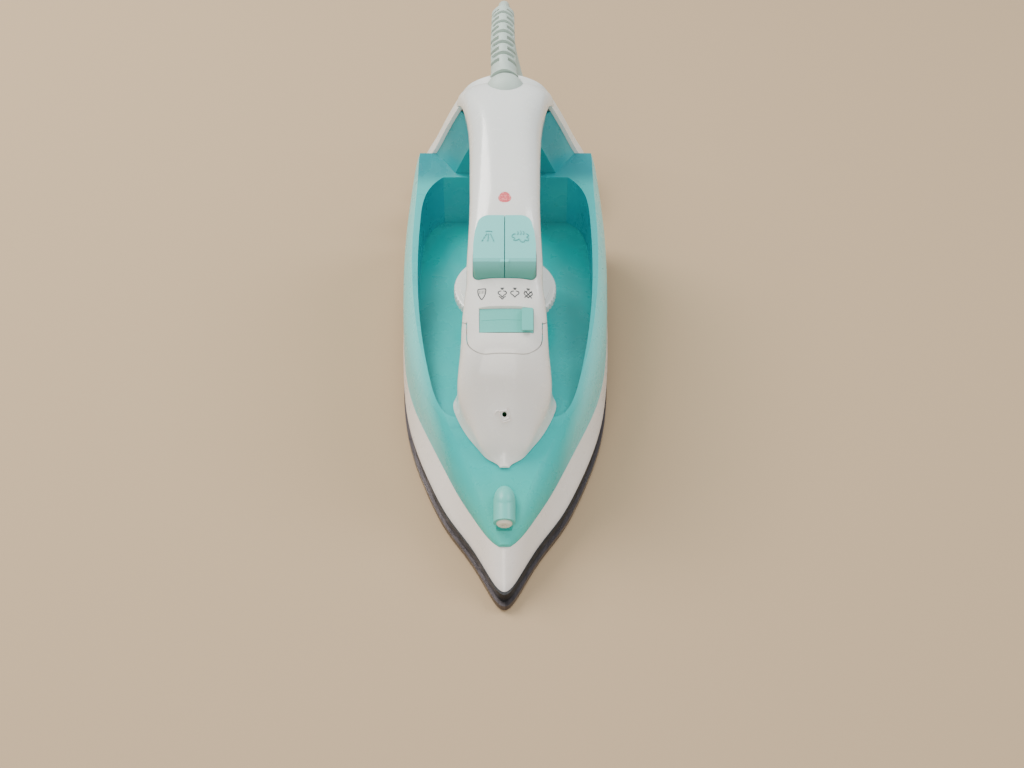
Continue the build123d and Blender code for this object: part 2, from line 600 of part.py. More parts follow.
# ---- Controls
def temperature_dial():
    """Disc with a finger ring and a pointer rib."""
    disc = rod(0, DIAL_Y, DIAL_Z, DIAL_TOP - 1.2, DIAL_R)
    disc = fillet(disc.edges().group_by(Axis.Z)[-1], 1.5)
    disc += ring(0, DIAL_Y, DIAL_TOP - 3, DIAL_TOP, 24.5, 20.5)
    disc += block(-1.2, 1.2, DIAL_Y - 20.6, DIAL_Y + 20.6, DIAL_TOP - 2, DIAL_TOP)
    for k in range(60):
        angle = math.radians(6 * k)
        x, y = DIAL_R * math.sin(angle), DIAL_Y + DIAL_R * math.cos(angle)
        disc -= rod(x, y, DIAL_Z - 1, DIAL_TOP, 0.7)
    return disc - rod(0, DIAL_Y, DIAL_Z - 1, DIAL_Z + 3, 2.9)


def dial_shaft():
    """Shaft from the dial down to the thermostat."""
    return rod(0, DIAL_Y, 19.8, DIAL_Z, 3) + rod(0, DIAL_Y, DIAL_Z, DIAL_Z + 3, 2.9)


def button_body(side):
    """Button cap with its hollow and its pump stem, side is -1 for the left and 1 for the right."""
    profile = [(BUTTON_FRONT, 104), (BUTTON_FRONT + 0.3, 109.5), (-12, 118.2), (-10.6, 119.3), (3, 122.8),
               (BUTTON_REAR, 125.2), (BUTTON_REAR, 106), (6, 106), (6, 104)]
    cap = slab(profile, 30) & button_plan(0, 100)
    hollow = [(BUTTON_FRONT + 2, 100), (-10.5, 116), (3, 119.8), (BUTTON_REAR - 2, 122), (BUTTON_REAR - 2, 100)]
    cap -= slab(hollow, 30) & button_plan(-2, 90)
    low, high = sorted([side * 0.2, side * 40])
    cap &= block(low, high, -40, 40, 90, 140)
    cap += block(*sorted([side * 0.2, side * 2.2]), BUTTON_FRONT + 2, BUTTON_REAR - 2, 106, 119)
    x = side * PUMP_X
    cap += rod(x, PUMP_Y, 90, 116.4, 1.5) & block(-40, 40, -40, 40, 90, 116)
    return cap + rod(x, PUMP_Y, 87, 91, 3.5 - RUN)


def pump_body(side):
    """Pump cylinder standing on the column's partition."""
    x = side * PUMP_X
    body = ring(x, PUMP_Y, PARTITION_Z, 96, 5.2, 3.5) + rod(x, PUMP_Y, PARTITION_Z, PARTITION_Z + 2, 6)
    for px, py in ports():
        body -= rod(px, py, PARTITION_Z - 1, PARTITION_Z + 3, 0.8)
    return body


SPRING_LOW = PARTITION_Z + 2
SPRING_HIGH = 87.0


def pump_spring(side):
    """Compression spring under the piston."""
    wire = 0.35
    turns = 5
    height = SPRING_HIGH - SPRING_LOW - 2 * wire - 0.1
    helix = Helix(pitch=height / turns, height=height, radius=2.7)
    section = Plane(origin=helix @ 0, z_dir=helix % 0) * Circle(wire)
    spring = sweep(section, path=helix, is_frenet=True)
    return Pos(side * PUMP_X, PUMP_Y, SPRING_LOW + wire + 0.05) * spring


def slider_tray():
    """Crowned tray under the panel's slot, with a slit for the slider's stem."""
    tray = Pos(0, 0, -2.9) * Box(SLOT_WIDE - 0.3, SLOT_LONG - 0.3, 4.2)
    tray += Pos(-1.2, 0, -5.75) * Box(28.4, 15.4, 1.5)
    tray &= Pos(0, 0, TRAY_TOP - TRAY_R) * Rot(90, 0, 0) * Cylinder(TRAY_R, 40)
    return PANEL * tray - block(-11.6, 13.6, SLOT_Y - 2 * STEM, SLOT_Y + 2 * STEM, 80, 120)


def steam_slider():
    """Sliding ridge with a stem and a cam pin."""
    ridge = PANEL * Pos(SLIDER_X - SLOT_X, 0, 0.5) * Box(5.8, SLOT_LONG - 0.9, 2.1)
    ridge = fillet(ridge.edges().filter_by(Axis.X, reverse=True).group_by(Axis.Z)[-1], 0.9)
    stem = block(SLIDER_X - 1.3, SLIDER_X + 1.3, SLOT_Y - STEM, SLOT_Y + STEM, 84, 99.6)
    pin = bar((SLIDER_X, SLOT_Y - 1.2, 85.6), (SLIDER_X, ROD_Y + 1.2, 85.6), 1.2)
    return ridge + stem + pin


def steam_rod():
    """Metering rod with a wedge-slotted head that the slider's pin runs in."""
    head = block(-13.4, 16.4, ROD_Y - 0.9, ROD_Y + 0.9, 79.2, 89.6)
    slope = math.degrees(math.atan2(ROD_LIFT, SLIDER_TRAVEL))
    middle = SLIDER_X - SLIDER_TRAVEL / 2
    centre = Pos(middle, ROD_Y, 85.6 - ROD_LIFT / 2) * Rot(0, -slope, 0)
    head -= centre * Box(SLIDER_TRAVEL + 3.6, 4, 3.2)
    body = head + rod(0, ROD_Y, 29, 79.5, 1.5)
    return body + Pos(0, ROD_Y, 28.1) * Cone(0.6, 1.5, 2.0)


def valve_seat():
    """Seat of the metering rod in the tank's floor."""
    seat = ring(0, ROD_Y, SEAM_Z, 26.6, 4, 1.6)
    return seat - Pos(0, ROD_Y, 26) * Cone(1.6, 2.6, 1.3)


def indicator_lens():
    """Clear lens flush with the handle."""
    return lamp_prism(4.2, 120) & (OUTER - INNER)


def lamp_holder():
    """Light-emitting diode on its small holder under the lens."""
    holder = block(-6, 6, LAMP_Y - 5, LAMP_Y + 5, 114, 116)
    holder += rod(0, LAMP_Y, 116, 121, 2.5) + Pos(0, LAMP_Y, 121) * Sphere(2.5)
    return holder


def spray_hose():
    """Silicone hose from the spray pump to the nozzle."""
    return tube(SPRAY_POINTS, 1.45)


def steam_hose():
    """Silicone hose from the steam pump to the chamber inlet."""
    return tube(STEAM_POINTS, 1.4)


def suction_tubes():
    """Two dip tubes that feed the pumps."""
    outer_ports = [port for port in ports() if abs(port[0]) > PUMP_X]
    return Compound(children=[ring(x, y, 28.5, PARTITION_Z - 0.1, 1.45, 0.8) for x, y in outer_ports])


def terminal_block():
    """Three-way terminal block inside the handle's rear."""
    body = block(-11, 11, 82, 94, 113, 123)
    for x in (-7, 0, 7):
        body -= bar((x, 80, 118), (x, 96, 118), 1.8)
        body -= rod(x, 88, 118, 124, 1.4)
    return body


def cord_clamp():
    """Bar that grips the cord behind the terminal block."""
    clamp = block(-6, 6, 99.5, 104.5, 116, 123)
    return clamp - bar((0, 90, 122.5), (0, 110, 124.5), 3.3)


def mains_leads():
    """Two insulated leads from the terminal block down to the heating element."""
    group = []
    for s in (1, -1):
        group.append(tube([(s * x, y, z) for x, y, z in LEAD_POINTS], 1.2))
    return Compound(children=group)


# ---- Cord
def cord_ball():
    """Ball of the cord guard, held between handle and rear cover."""
    return Pos(*BALL) * Sphere(BALL_R) - bar(BALL + SLEEVE_AXIS * 10.2, BALL + SLEEVE_AXIS * 14, 20)


def strain_relief():
    """Flexible sleeve on the ball that guides the cord."""
    return tube(SLEEVE_POINTS, 6.2)


def print_bends(name, points):
    """Print a cord's bend radii, its length and the volume that a tube along it should have."""
    path, radii = bend_path(points)
    volume = math.pi * (CORD_D / 2) ** 2 * path.length
    print(name, "radii", [round(r, 1) for r in radii], "length", round(path.length, 1), "volume", round(volume))


def power_cord():
    """Stretch of the cord between the sleeve and the coil."""
    print_bends("power_cord", CORD_POINTS)
    return tube(CORD_POINTS, CORD_D / 2)


def cord_coil():
    """Outer shape of the coil that the rest of the cord is wound into."""
    coil = ring(0, COIL_Y, COIL_Z, COIL_TOP, COIL_OUT, COIL_IN)
    return fillet(coil.edges().group_by(Axis.Z)[0] + coil.edges().group_by(Axis.Z)[-1], 2.5)


def cord_tail():
    """End of the cord from the coil to the plug."""
    print_bends("cord_tail", TAIL_POINTS)
    return tube(TAIL_POINTS, CORD_D / 2)


def cord_tie():
    """Flat band round the coil."""
    band = block(-COIL_OUT - 0.9, -COIL_IN + 0.9, COIL_Y - 4, COIL_Y + 4, 0, COIL_TOP + 0.9)
    band = fillet(band.edges().filter_by(Axis.Y), 3)
    hole = block(-COIL_OUT, -COIL_IN, COIL_Y - 5, COIL_Y + 5, COIL_Z, COIL_TOP)
    return band - fillet(hole.edges().filter_by(Axis.Y), 2.4)


def plug_body():
    """Moulded angled mains plug with its side strain relief, lying on the coil."""
    body = rod(PLUG_X, PLUG_Y, COIL_TOP + 0.1, COIL_TOP + PLUG_HIGH, PLUG_R)
    body = fillet(body.edges().group_by(Axis.Z)[0] + body.edges().group_by(Axis.Z)[-1], 3)
    boot = Plane(origin=(PLUG_X, PLUG_Y, BOOT_Z), z_dir=(1, 0, 0))
    return body + loft([boot * Circle(6.1), boot.offset(BOOT_X - PLUG_X) * Circle(4.6)])


def plug_pins():
    """Two round mains pins."""
    low = COIL_TOP + PLUG_HIGH
    pins = []
    for s in (1, -1):
        pin = rod(PLUG_X + s * PIN_GAP / 2, PLUG_Y, low, low + PIN_LONG, PIN_R)
        pins.append(fillet(pin.edges().group_by(Axis.Z)[-1], 1.4))
    return Compound(children=pins)


if __name__ == "__main__":
    builders = [soleplate, heating_element, steam_chamber_cover, heat_shield, shield_screws, skirt, thermostat,
                thermal_fuse, chamber_seal, filler_gasket, nozzle_housing, nozzle_tip, filler_cover, handle_top,
                handle_bottom, rear_cover, rear_cover_screws, heel_feet, temperature_dial, dial_shaft, slider_tray,
                steam_slider, steam_rod, valve_seat, indicator_lens, lamp_holder, spray_hose, steam_hose,
                suction_tubes, terminal_block, cord_clamp, mains_leads, cord_ball, strain_relief, power_cord,
                cord_coil, cord_tail, cord_tie, plug_body, plug_pins]
    for build in builders:
        parts[build.__name__] = build()
    parts.update(tank_parts())
    for side, name in ((-1, "spray"), (1, "steam")):
        parts[name + "_button"] = button_body(side)
        parts[name + "_pump_body"] = pump_body(side)
        parts[name + "_spring"] = pump_spring(side)
    for name, shape in parts.items():
        export_step(shape, f"parts/{name}.step")
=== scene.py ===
import math

import bpy
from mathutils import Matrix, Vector
from mathutils.bvhtree import BVHTree


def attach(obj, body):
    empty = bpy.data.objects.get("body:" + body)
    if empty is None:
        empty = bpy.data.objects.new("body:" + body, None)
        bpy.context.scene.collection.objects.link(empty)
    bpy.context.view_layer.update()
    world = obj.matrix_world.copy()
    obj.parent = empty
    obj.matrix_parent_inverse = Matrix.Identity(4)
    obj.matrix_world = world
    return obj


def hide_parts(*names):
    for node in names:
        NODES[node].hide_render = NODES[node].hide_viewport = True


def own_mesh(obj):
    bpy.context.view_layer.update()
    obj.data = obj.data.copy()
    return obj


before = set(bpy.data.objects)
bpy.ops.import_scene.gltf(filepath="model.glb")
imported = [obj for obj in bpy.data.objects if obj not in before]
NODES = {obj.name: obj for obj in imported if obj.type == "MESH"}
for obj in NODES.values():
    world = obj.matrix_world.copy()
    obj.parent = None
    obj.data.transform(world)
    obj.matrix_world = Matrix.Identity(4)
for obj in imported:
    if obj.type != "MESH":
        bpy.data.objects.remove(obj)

MM = 0.001
PANEL_TILT = math.radians(27.2)
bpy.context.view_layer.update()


# ---- Camera
def add_camera():
    """Camera in front of the tip, looking down at 45 degrees."""
    data = bpy.data.cameras.new("camera")
    data.lens = 55.1
    data.sensor_width = 36
    data.clip_start = 0.01
    camera = bpy.data.objects.new("camera", data)
    bpy.context.scene.collection.objects.link(camera)
    target = Vector((3.8, 18.3, 0)) * MM
    camera.location = target + Vector((0, -636.4, 636.4)) * MM
    camera.rotation_mode = "QUATERNION"
    camera.rotation_quaternion = (target - camera.location).to_track_quat("-Z", "Y")
    bpy.context.scene.camera = camera


# ---- Materials
def srgb(red, green, blue):
    """Linear colour from 8-bit display values."""
    linear = []
    for value in (red, green, blue):
        linear.append(value / 255 / 12.92 if value < 10 else ((value / 255 + 0.055) / 1.055) ** 2.4)
    return tuple(linear) + (1,)


class Finish:
    """A Principled material whose colour, roughness and bump come from procedural nodes."""

    def __init__(self, name, color, rough=0.4, metal=0.0, coat=0.0, glow=0.0):
        self.mat = bpy.data.materials.new(name)
        self.mat.use_nodes = True
        self.nodes = self.mat.node_tree.nodes
        self.links = self.mat.node_tree.links
        self.shader = self.nodes["Principled BSDF"]
        self.coords = self.nodes.new("ShaderNodeTexCoord").outputs["Object"]
        self.set("Base Color", color)
        self.set("Roughness", rough)
        self.set("Metallic", metal)
        self.set("Coat Weight", coat)
        self.set("Coat Roughness", 0.08)
        if glow:
            self.set("Emission Color", color)
            self.set("Emission Strength", glow)
        self.color = None
        self.height = None
        self.base = color

    def set(self, socket, value):
        """Set one input of the shader."""
        self.shader.inputs[socket].default_value = value

    def noise(self, scale, detail=4.0, stretch=(1, 1, 1)):
        """Noise value at so many cells per metre, stretched along the axes."""
        mapping = self.nodes.new("ShaderNodeMapping")
        mapping.inputs["Scale"].default_value = stretch
        self.links.new(self.coords, mapping.inputs["Vector"])
        node = self.nodes.new("ShaderNodeTexNoise")
        node.inputs["Scale"].default_value = scale
        node.inputs["Detail"].default_value = detail
        self.links.new(mapping.outputs["Vector"], node.inputs["Vector"])
        return node.outputs["Fac"]

    def axis(self, name):
        """One object coordinate in metres."""
        node = self.nodes.new("ShaderNodeSeparateXYZ")
        self.links.new(self.coords, node.inputs[0])
        return node.outputs[name]

    def facing(self, name):
        """One coordinate of the surface's direction."""
        geometry = self.nodes.new("ShaderNodeNewGeometry")
        node = self.nodes.new("ShaderNodeSeparateXYZ")
        self.links.new(geometry.outputs["Normal"], node.inputs[0])
        return node.outputs[name]

    def ramp(self, value, low, high, start, end):
        """Value mapped from the range low..high to start..end."""
        node = self.nodes.new("ShaderNodeMapRange")
        node.interpolation_type = "SMOOTHSTEP"
        self.links.new(value, node.inputs["Value"])
        for socket, number in zip(("From Min", "From Max", "To Min", "To Max"), (low, high, start, end)):
            node.inputs[socket].default_value = number
        return node.outputs["Result"]

    def math(self, operation, first, second):
        """Result of a math node on two values or sockets."""
        node = self.nodes.new("ShaderNodeMath")
        node.operation = operation
        for socket, value in zip(node.inputs, (first, second)):
            if isinstance(value, (int, float)):
                socket.default_value = value
            else:
                self.links.new(value, socket)
        return node.outputs[0]

    def tint(self, factor, color, blend="MIX"):
        """Mix another colour over the base by a factor socket."""
        node = self.nodes.new("ShaderNodeMix")
        node.data_type = "RGBA"
        node.blend_type = blend
        self.links.new(factor, node.inputs[0])
        if self.color is None:
            node.inputs[6].default_value = self.base
        else:
            self.links.new(self.color, node.inputs[6])
        node.inputs[7].default_value = color
        self.color = node.outputs[2]
        self.links.new(self.color, self.shader.inputs["Base Color"])
        return self

    def rough(self, value, low, high):
        """Roughness between low and high by a noise socket."""
        self.links.new(self.ramp(value, 0.3, 0.7, low, high), self.shader.inputs["Roughness"])
        return self

    def bump(self, height, distance, strength=1.0):
        """Add a bump of so many metres on top of those before."""
        node = self.nodes.new("ShaderNodeBump")
        node.inputs["Distance"].default_value = distance
        node.inputs["Strength"].default_value = strength
        self.links.new(height, node.inputs["Height"])
        if self.height is not None:
            self.links.new(self.height, node.inputs["Normal"])
        self.height = node.outputs["Normal"]
        self.links.new(self.height, self.shader.inputs["Normal"])
        return self

    def glassy(self, weight, ior=1.49):
        """Let light through."""
        self.set("Transmission Weight", weight)
        self.set("IOR", ior)
        return self

    def milky(self, weight, radius, scale):
        """Scatter light below the surface."""
        self.set("Subsurface Weight", weight)
        self.set("Subsurface Radius", radius)
        self.set("Subsurface Scale", scale)
        return self


def moulded(name, color, rough, coat=0.0, grain=0.000012, vary=0.08):
    """Injection-moulded plastic: fine grain, slight colour and gloss variation."""
    made = Finish(name, color, rough, coat=coat)
    dark = tuple(c * 0.82 for c in color[:3]) + (1,)
    cloud = made.noise(22, 3)
    made.tint(made.ramp(cloud, 0.35, 0.75, 0, vary * 4), dark)
    made.rough(made.noise(140, 5), max(0.04, rough - 0.05), rough + 0.07)
    made.bump(made.noise(900, 6), grain * 6, 0.5)
    made.bump(made.noise(5200, 2), grain, 0.8)
    return made


def white_plastic():
    """Glossy pearl white of the shells, warmer towards the tip and cooler towards the heel."""
    made = moulded("white_plastic", srgb(232, 229, 222), 0.22, coat=0.5, grain=0.000006)
    made.tint(made.ramp(made.axis("Y"), -0.06, 0.1, 0, 0.55), srgb(213, 222, 220))
    return made.milky(0.12, (0.9, 0.8, 0.7), 0.003).mat


def skirt_plastic():
    """White of the lower casing, slightly warmer and less glossy."""
    made = moulded("skirt_plastic", srgb(236, 228, 220), 0.3, coat=0.3)
    # Painted shade along the bottom edge: mixed towards grey below 13 mm, by 35% at 9.5 mm and lower.
    made.tint(made.ramp(made.axis("Z"), 0.0095, 0.013, 0.35, 0), srgb(178, 170, 164))
    return made.milky(0.1, (0.9, 0.8, 0.7), 0.003).mat


def tank_plastic():
    """Translucent turquoise of the water tank: painted shade deepens the recess floor and walls, a painted
    highlight pales the flanks and the rim, and a faint painted glow lifts it all.
    """
    made = Finish("tank_plastic", srgb(52, 184, 182), 0.3, coat=0.12)
    outward = made.math("MULTIPLY", made.axis("X"), made.facing("X"))
    # Painted shade: deeper teal below 46-53 mm, over the recess floor and the lower hull.
    made.tint(made.ramp(made.axis("Z"), 0.053, 0.046, 0, 1), srgb(0, 172, 168))
    made.tint(made.ramp(made.axis("Y"), 0.098, 0.112, 0, 1), srgb(0, 132, 140))
    made.tint(made.ramp(made.axis("Y"), -0.07, -0.12, 0, 0.8), srgb(66, 178, 160))
    # Painted shade: deeper teal on the walls that face inwards, into the recess.
    made.tint(made.ramp(outward, -0.012, -0.022, 0, 1), srgb(0, 148, 160))
    made.tint(made.ramp(made.noise(24, 3, (1, 0.5, 1)), 0.45, 0.8, 0, 0.35), srgb(30, 184, 174))
    made.tint(made.ramp(made.noise(60, 4, (1, 0.3, 1)), 0.5, 0.85, 0, 0.3), srgb(0, 138, 148))
    # Painted highlight: pale teal on the flanks and the rim, which face outwards.
    made.tint(made.ramp(outward, 0.022, 0.04, 0, 0.85), srgb(112, 208, 204))
    made.rough(made.noise(90, 4), 0.24, 0.36)
    made.bump(made.noise(480, 5), 0.00003, 0.4)
    made.bump(made.noise(60, 2), 0.0002, 0.15)
    # Painted glow: the tank's own colour given off faintly as light.
    made.links.new(made.color, made.shader.inputs["Emission Color"])
    made.set("Emission Strength", 0.1)
    return made.milky(0.2, (0.2, 0.9, 0.85), 0.004).glassy(0.03).mat


def dark_tank_plastic():
    """Tinted plastic of the lower handle shell."""
    made = moulded("grip_plastic", srgb(0, 128, 136), 0.35, coat=0.2)
    return made.mat


def mint_plastic():
    """Satin mint of the keys."""
    made = moulded("mint_plastic", srgb(112, 202, 196), 0.48, grain=0.00002)
    # Painted shade on the keys' front faces: darker green below 119 mm, by 80% at 111 mm.
    made.tint(made.ramp(made.axis("Z"), 0.119, 0.111, 0, 0.8), srgb(74, 152, 134))
    return made.milky(0.1, (0.5, 0.9, 0.8), 0.003).mat


def tray_plastic():
    """Mint of the slider and its tray."""
    made = moulded("tray_plastic", srgb(92, 190, 178), 0.42, grain=0.00002)
    return made.mat


def polished_plate():
    """Dark coated soleplate with fine polishing lines along its length."""
    made = Finish("soleplate_coat", srgb(98, 92, 94), 0.32, metal=0.85, coat=0.15)
    lines = made.noise(260, 3, (6, 0.15, 1))
    made.tint(made.ramp(lines, 0.4, 0.7, 0, 0.35), srgb(62, 58, 60))
    made.rough(made.noise(120, 4), 0.25, 0.42)
    made.bump(lines, 0.00003, 0.35)
    made.bump(made.noise(2400, 2), 0.000008, 0.5)
    return made.mat


def plain_metal(name, color, rough):
    """Turned or pressed metal with fine machining marks."""
    made = Finish(name, color, rough, metal=1.0)
    lines = made.noise(700, 3, (1, 1, 6))
    made.tint(made.ramp(lines, 0.35, 0.75, 0, 0.3), tuple(c * 0.7 for c in color[:3]) + (1,))
    made.rough(made.noise(300, 4), rough - 0.06, rough + 0.1)
    made.bump(lines, 0.00001, 0.5)
    return made.mat


def rubber(name, color, rough=0.55):
    """Soft moulded PVC or rubber, with a matt skin."""
    made = moulded(name, color, rough, grain=0.00003, vary=0.12)
    made.bump(made.noise(1500, 5), 0.00006, 0.35)
    return made.milky(0.08, (0.8, 0.8, 0.7), 0.002).mat


def shield_plastic():
    """Black glass-filled plastic."""
    made = moulded("shield_plastic", srgb(20, 20, 22), 0.5, grain=0.00004, vary=0.15)
    return made.mat


def lamp_glass():
    """Red-pink translucent lens that glows softly in its middle."""
    made = Finish("lamp_glass", srgb(214, 96, 104), 0.16, coat=0.8, glow=0.35)
    made.tint(made.ramp(made.noise(900, 2), 0.45, 0.62, 0, 0.9), srgb(250, 170, 165))
    made.bump(made.noise(700, 2), 0.0002, 0.6)
    return made.glassy(0.35).mat


MATERIALS = {
    "white": white_plastic(), "skirt": skirt_plastic(), "tank": tank_plastic(), "grip": dark_tank_plastic(),
    "mint": mint_plastic(), "tray": tray_plastic(), "plate": polished_plate(),
    "steel": plain_metal("steel", srgb(176, 176, 178), 0.35),
    "brass": plain_metal("brass", srgb(196, 160, 96), 0.3),
    "chrome": plain_metal("plated_pin", srgb(212, 210, 206), 0.15), "shield": shield_plastic(),
    "ceramic": moulded("ceramic_plastic", srgb(222, 216, 200), 0.5).mat,
    "silicone": rubber("silicone", srgb(214, 214, 208), 0.45), "lamp": lamp_glass(),
    "cord": rubber("cord_pvc", srgb(178, 194, 184), 0.5),
    "tie": rubber("tie_rubber", srgb(74, 78, 76), 0.6),
    "lead": rubber("lead_insulation", srgb(150, 110, 80), 0.5),
    "ink": moulded("print_ink", srgb(40, 46, 48), 0.5).mat,
    # relief: embossed key marks painted darker than the keys, as painted shade of the relief.
    "relief": moulded("relief_mark", srgb(76, 164, 160), 0.45).mat,
}
NODE_GROUPS = {
    "plate": "soleplate",
    "steel": "heating_element steam_chamber_cover shield_screws thermal_fuse rear_cover_screws "
             "spray_spring steam_spring",
    "shield": "heat_shield",
    "skirt": "skirt",
    "ceramic": "thermostat nozzle_tip dial_shaft lamp_holder terminal_block cord_clamp "
               "spray_pump_body steam_pump_body",
    "silicone": "chamber_seal filler_gasket spray_hose steam_hose suction_tubes",
    "tank": "tank tank_column tank_left_wall tank_right_wall tank_tower",
    "tray": "nozzle_housing slider_tray steam_slider",
    "white": "filler_cover handle_top rear_cover temperature_dial",
    "grip": "handle_bottom",
    "tie": "heel_feet cord_tie",
    "brass": "steam_rod valve_seat",
    "lamp": "indicator_lens",
    "lead": "mains_leads",
    "cord": "cord_ball strain_relief power_cord cord_coil cord_tail plug_body",
    "chrome": "plug_pins",
    "mint": "spray_button steam_button",
}
NODE_FINISH = {name: finish for finish, names in NODE_GROUPS.items() for name in names.split()}


def finish_nodes():
    """Give every CAD node its material and smooth shading over its soft edges."""
    for name, node in NODES.items():
        node.data.materials.clear()
        node.data.materials.append(MATERIALS[NODE_FINISH[name]])
        modifier = node.modifiers.new("edges", "EDGE_SPLIT")
        modifier.split_angle = math.radians(32)
        for polygon in node.data.polygons:
            polygon.use_smooth = True


# ---- Mesh helpers
def place(piece, body, finish):
    """Give a new piece its material and let it ride on its body."""
    piece.data.materials.clear()
    piece.data.materials.append(MATERIALS[finish])
    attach(piece, body)
    return piece


def new_piece(name, verts, faces, body, finish):
    """Mesh object from points in millimetres, placed on its body."""
    mesh = bpy.data.meshes.new(name)
    mesh.from_pydata([tuple(c * MM for c in v) for v in verts], [], faces)
    mesh.update()
    for polygon in mesh.polygons:
        polygon.use_smooth = True
    piece = bpy.data.objects.new(name, mesh)
    bpy.context.scene.collection.objects.link(piece)
    return place(piece, body, finish)


def grid_faces(rows, columns, closed=False):
    """Quads between rows of points, each row wrapping round when closed."""
    faces = []
    for i in range(rows - 1):
        for j in range(columns if closed else columns - 1):
            k = (j + 1) % columns
            faces.append((i * columns + j, i * columns + k, (i + 1) * columns + k, (i + 1) * columns + j))
    return faces


def skin_of(*names):
    """Search tree over the faces of CAD nodes."""
    verts, faces = [], []
    for name in names:
        mesh = NODES[name].data
        start = len(verts)
        verts += [v.co.copy() for v in mesh.vertices]
        faces += [[start + i for i in polygon.vertices] for polygon in mesh.polygons]
    return BVHTree.FromPolygons(verts, faces)


class Patch:
    """Flat drawing plane beside a surface, on which marks are drawn and then laid on the surface."""

    def __init__(self, skin, centre, normal):
        self.skin = skin
        self.centre = Vector(centre)
        self.normal = Vector(normal).normalized()
        across = Vector((1, 0, 0))
        self.u = (across - self.normal * self.normal.dot(across)).normalized()
        self.v = self.normal.cross(self.u)

    def land(self, u, v, lift):
        """Point in millimetres on the surface below (u, v), raised by lift."""
        start = (self.centre + self.u * u + self.v * v + self.normal * 12) * MM
        hit, face_normal, index, distance = self.skin.ray_cast(start, -self.normal)
        if hit is None:
            hit = (self.centre + self.u * u + self.v * v) * MM
        return hit / MM + self.normal * lift


def smooth_stroke(points, closed, steps=5):
    """Catmull-Rom points through a stroke."""
    count = len(points)
    if count < 3:
        return [Vector(points[0]).lerp(Vector(points[-1]), k / 6) for k in range(7)]

    def get(i):
        return Vector(points[i % count] if closed else points[min(max(i, 0), count - 1)])

    out = []
    for i in range(count if closed else count - 1):
        a, b, c, d = get(i - 1), get(i), get(i + 1), get(i + 2)
        for k in range(steps):
            t = k / steps
            square = (2 * a - 5 * b + 4 * c - d) * t ** 2
            cube = (3 * b - a - 3 * c + d) * t ** 3
            out.append(0.5 * (2 * b + (c - a) * t + square + cube))
    if not closed:
        out.append(get(count - 1))
    return out


def ribbons(name, patch, strokes, width, lift, body, finish):
    """Raised or printed lines on a surface: each stroke is (points, closed)."""
    verts, faces = [], []
    for points, closed in strokes:
        line = smooth_stroke(points, closed)
        count = len(line)
        start = len(verts)
        for i, here in enumerate(line):
            before = line[(i - 1) % count] if closed or i else here
            after = line[(i + 1) % count] if closed or i < count - 1 else here
            run = (after - before).normalized()
            side = Vector((-run.y, run.x)) * width / 2
            for share, height in ((-1, -0.05), (-0.75, lift), (0.75, lift), (1, -0.05)):
                verts.append(patch.land(here.x + side.x * share, here.y + side.y * share, height))
        for i in range(count if closed else count - 1):
            j = (i + 1) % count
            for k in range(3):
                here, there = start + 4 * i + k, start + 4 * j + k
                faces.append((here, there, there + 1, here + 1))
    return new_piece(name, verts, faces, body, finish)


# ---- Printed and embossed marks
SHIELD_MARK = [([(-2, 2.7), (-1.95, 1), (-1.5, -0.7), (-0.7, -2.1), (0, -2.9), (0.7, -2.1), (1.5, -0.7),
                 (1.95, 1), (2, 2.7)], False), ([(-2.1, 2.7), (0, 2.8), (2.1, 2.7)], False)]
SHIELD_FILL = [([(x, 2.0), (x, 0.2)], False) for x in (-1.1, -0.4, 0.4, 1.1)]
STEAM_MARK = [([(-0.9, 2.9), (0.9, 2.9)], False), ([(-0.6, 2.3), (0.6, 2.3)], False),
              ([(-0.5, 1.4), (-1.7, 1.1), (-2.1, 0.3), (-1.5, -0.5), (-0.7, -1.0), (0, -1.9), (0.7, -1.0),
                (1.5, -0.5), (2.1, 0.3), (1.7, 1.1), (0.5, 1.4)], False)]
MORE_STEAM = [([(-1.7, -1.5), (-0.8, -2.1), (0, -3.0), (0.8, -2.1), (1.7, -1.5)], False)]
CROSS = [([(-1.9, -2.0), (1.9, 1.8)], False), ([(-1.9, 1.8), (1.9, -2.0)], False)]
SPRAY_MARK = [([(-1.7, 3.3), (0, 3.6), (1.7, 3.3)], False)]
PUFF_MARK = [([(-1.5, 3.4), (-1.2, 2.4), (-1.5, 1.2)], False), ([(0, 3.8), (0.3, 2.4), (0, 1.2)], False),
             ([(1.5, 3.4), (1.8, 2.4), (1.5, 1.2)], False),
             ([(-2.6, 1.8), (-4.0, 1.2), (-4.2, -0.2), (-3.0, -0.9), (-3.4, -2.2), (-1.7, -2.2), (-0.6, -1.6),
               (0.4, -3.2), (1.9, -3.3), (2.2, -2.2), (3.8, -2.6), (4.0, -1.0), (3.2, -0.4), (4.2, 0.8),
               (2.8, 1.9)], False)]
JUG_MARK = [([(-3.1, 2.0), (-1.6, -3.9)], False), ([(-3.1, 2.0), (1.2, 2.5)], False),
            ([(1.5, 3.7), (3.0, -2.6)], False),
            ([(3.0, -2.6), (-1.6, -3.9)], False), ([(2.2, -1.2), (-0.4, -2.6)], False),
            ([(-3.1, 2.4), (-4.5, 1.9), (-5.0, 0.3)], False)]


def spray_rays():
    """Three dashed rays that fan out below the spray mark's nozzle."""
    rays = list(SPRAY_MARK)
    for lean in (-1, -0.15, 0.75):
        for k in range(3):
            near, far = 0.1 + 0.32 * k, 0.31 + 0.32 * k
            start = (lean * (0.8 + 2.9 * near), 2.4 - 5.6 * near)
            rays.append(([start, (lean * (0.8 + 2.9 * far), 2.4 - 5.6 * far)], False))
    return rays


def moved(strokes, dx, dy=0.0):
    """Strokes shifted in their drawing plane."""
    return [([(x + dx, y + dy) for x, y in points], closed) for points, closed in strokes]


